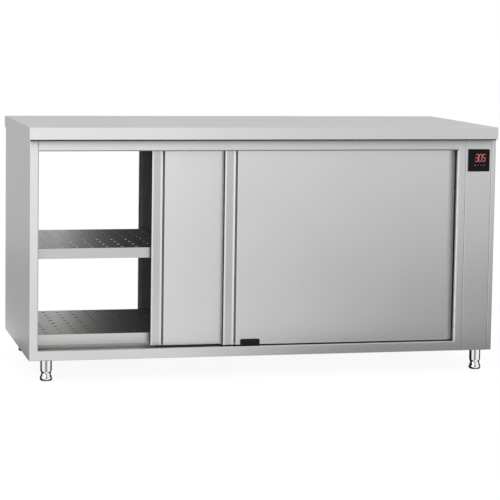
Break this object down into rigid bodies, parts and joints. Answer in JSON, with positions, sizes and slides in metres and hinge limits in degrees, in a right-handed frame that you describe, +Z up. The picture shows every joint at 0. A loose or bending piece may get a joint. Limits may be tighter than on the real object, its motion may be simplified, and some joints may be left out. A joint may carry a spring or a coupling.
{
  "type": "hot cupboard",
  "caption": "Stainless pass-through hot cupboard: worktop over a heated chamber with perforated shelves, sliding doors front and rear, a control bay and levelling feet.",
  "frame": {"origin": "on the floor under the middle of the worktop", "axes": "+X along the width towards the control bay, +Y to the rear, +Z up; the front faces -Y"},
  "size_m": [1.6, 0.7, 0.84],
  "materials": {
    "stainless": "fine brushed",
    "inner_stainless": "mill",
    "zinc_steel": "galvanised",
    "core_board": "chipboard",
    "black_plastic": "moulded",
    "window": "tinted, gloss",
    "rubber": "matt",
    "element_tube": "heat-tinted",
    "pale_plastic": "moulded",
    "chrome": "polished"
  },
  "bodies": {
    "cabinet": {"worktop": "stainless", "left_side_panel": "stainless", "right_side_panel": "stainless", "partition_panel": "stainless", "control_fascia": "stainless", "bay_rear_cover": "stainless", "front_top_rail": "stainless", "rear_top_rail": "stainless", "front_bottom_rail": "stainless", "rear_bottom_rail": "stainless", "middle_shelf": "stainless", "bottom_shelf": "stainless", "left_lining": "inner_stainless", "ceiling_panel": "inner_stainless", "floor_pan": "inner_stainless", "shelf_angles": "inner_stainless", "temperature_probe": "inner_stainless", "worktop_stiffeners": "zinc_steel", "bay_floor": "zinc_steel", "cross_members": "zinc_steel", "front_track": "zinc_steel", "rear_track": "zinc_steel", "air_duct": "zinc_steel", "fan_motor": "zinc_steel", "worktop_core": "core_board", "door_guides": "black_plastic", "controller_housing": "black_plastic", "safety_thermostat": "black_plastic", "cable_gland": "black_plastic", "controller_window": "window", "track_stops": "rubber", "ring_element": "element_tube", "terminal_block": "pale_plastic", "leg_tubes": "chrome"},
    "front_left_door": {"front_left_door_skin": "stainless", "front_left_door_back": "inner_stainless", "front_left_hangers": "zinc_steel"},
    "front_left_roller_a": {"front_left_roller_a": "pale_plastic"},
    "front_left_roller_b": {"front_left_roller_b": "pale_plastic"},
    "front_right_door": {"front_right_door_skin": "stainless", "front_right_door_back": "inner_stainless", "front_right_hangers": "zinc_steel"},
    "front_right_roller_a": {"front_right_roller_a": "pale_plastic"},
    "front_right_roller_b": {"front_right_roller_b": "pale_plastic"},
    "rear_left_door": {"rear_left_door_skin": "stainless", "rear_left_door_back": "inner_stainless", "rear_left_hangers": "zinc_steel"},
    "rear_left_roller_a": {"rear_left_roller_a": "pale_plastic"},
    "rear_left_roller_b": {"rear_left_roller_b": "pale_plastic"},
    "rear_right_door": {"rear_right_door_skin": "stainless", "rear_right_door_back": "inner_stainless", "rear_right_hangers": "zinc_steel"},
    "rear_right_roller_a": {"rear_right_roller_a": "pale_plastic"},
    "rear_right_roller_b": {"rear_right_roller_b": "pale_plastic"},
    "fan": {"fan_impeller": "zinc_steel", "fan_shaft": "zinc_steel"},
    "foot_front_left": {"foot_front_left": "chrome"},
    "foot_front_right": {"foot_front_right": "chrome"},
    "foot_rear_left": {"foot_rear_left": "chrome"},
    "foot_rear_right": {"foot_rear_right": "chrome"}
  },
  "joints": [
    {"name": "front_left_slide", "type": "slide", "parent": "cabinet", "child": "front_left_door", "axis": [1, 0, 0], "range_m": [-0.378, 0.2423]},
    {"name": "front_left_roller_a_turn", "type": "hinge", "parent": "front_left_door", "child": "front_left_roller_a", "pos_m": [-0.3415, -0.2898, 0.7865], "axis": [0, 1, 0], "range_deg": [-2713, 1741]},
    {"name": "front_left_roller_b_turn", "type": "hinge", "parent": "front_left_door", "child": "front_left_roller_b", "pos_m": [0.37275, -0.2898, 0.7865], "axis": [0, 1, 0], "range_deg": [-2713, 1741]},
    {"name": "front_right_slide", "type": "slide", "parent": "cabinet", "child": "front_right_door", "axis": [1, 0, 0], "range_m": [-0.6203, 0]},
    {"name": "front_right_roller_a_turn", "type": "hinge", "parent": "front_right_door", "child": "front_right_roller_a", "pos_m": [-0.09925, -0.3138, 0.7865], "axis": [0, 1, 0], "range_deg": [-4448, 5]},
    {"name": "front_right_roller_b_turn", "type": "hinge", "parent": "front_right_door", "child": "front_right_roller_b", "pos_m": [0.615, -0.3138, 0.7865], "axis": [0, 1, 0], "range_deg": [-4448, 5]},
    {"name": "rear_left_slide", "type": "slide", "parent": "cabinet", "child": "rear_left_door", "axis": [1, 0, 0], "range_m": [-0.445, 0.1753]},
    {"name": "rear_left_roller_a_turn", "type": "hinge", "parent": "rear_left_door", "child": "rear_left_roller_a", "pos_m": [0.43975, 0.3138, 0.7865], "axis": [0, 1, 0], "range_deg": [-3193, 1261]},
    {"name": "rear_left_roller_b_turn", "type": "hinge", "parent": "rear_left_door", "child": "rear_left_roller_b", "pos_m": [-0.2745, 0.3138, 0.7865], "axis": [0, 1, 0], "range_deg": [-3193, 1261]},
    {"name": "rear_right_slide", "type": "slide", "parent": "cabinet", "child": "rear_right_door", "axis": [1, 0, 0], "range_m": [-0.6203, 0]},
    {"name": "rear_right_roller_a_turn", "type": "hinge", "parent": "rear_right_door", "child": "rear_right_roller_a", "pos_m": [0.615, 0.2898, 0.7865], "axis": [0, 1, 0], "range_deg": [-4448, 5]},
    {"name": "rear_right_roller_b_turn", "type": "hinge", "parent": "rear_right_door", "child": "rear_right_roller_b", "pos_m": [-0.09925, 0.2898, 0.7865], "axis": [0, 1, 0], "range_deg": [-4448, 5]},
    {"name": "fan_turn", "type": "hinge", "parent": "cabinet", "child": "fan", "pos_m": [0.69, 0, 0.3015], "axis": [1, 0, 0], "continuous": true},
    {"name": "foot_front_left_level", "type": "slide", "parent": "cabinet", "child": "foot_front_left", "axis": [0, 0, -1], "range_m": [0, 0.025]},
    {"name": "foot_front_right_level", "type": "slide", "parent": "cabinet", "child": "foot_front_right", "axis": [0, 0, -1], "range_m": [0, 0.025]},
    {"name": "foot_rear_left_level", "type": "slide", "parent": "cabinet", "child": "foot_rear_left", "axis": [0, 0, -1], "range_m": [0, 0.025]},
    {"name": "foot_rear_right_level", "type": "slide", "parent": "cabinet", "child": "foot_rear_right", "axis": [0, 0, -1], "range_m": [0, 0.025]}
  ],
  "couplings": [
    {"joint": "front_left_roller_a_turn", "follows": "front_left_slide", "rad_per_m": 125},
    {"joint": "front_left_roller_b_turn", "follows": "front_left_slide", "rad_per_m": 125},
    {"joint": "front_right_roller_a_turn", "follows": "front_right_slide", "rad_per_m": 125},
    {"joint": "front_right_roller_b_turn", "follows": "front_right_slide", "rad_per_m": 125},
    {"joint": "rear_left_roller_a_turn", "follows": "rear_left_slide", "rad_per_m": 125},
    {"joint": "rear_left_roller_b_turn", "follows": "rear_left_slide", "rad_per_m": 125},
    {"joint": "rear_right_roller_a_turn", "follows": "rear_right_slide", "rad_per_m": 125},
    {"joint": "rear_right_roller_b_turn", "follows": "rear_right_slide", "rad_per_m": 125}
  ]
}
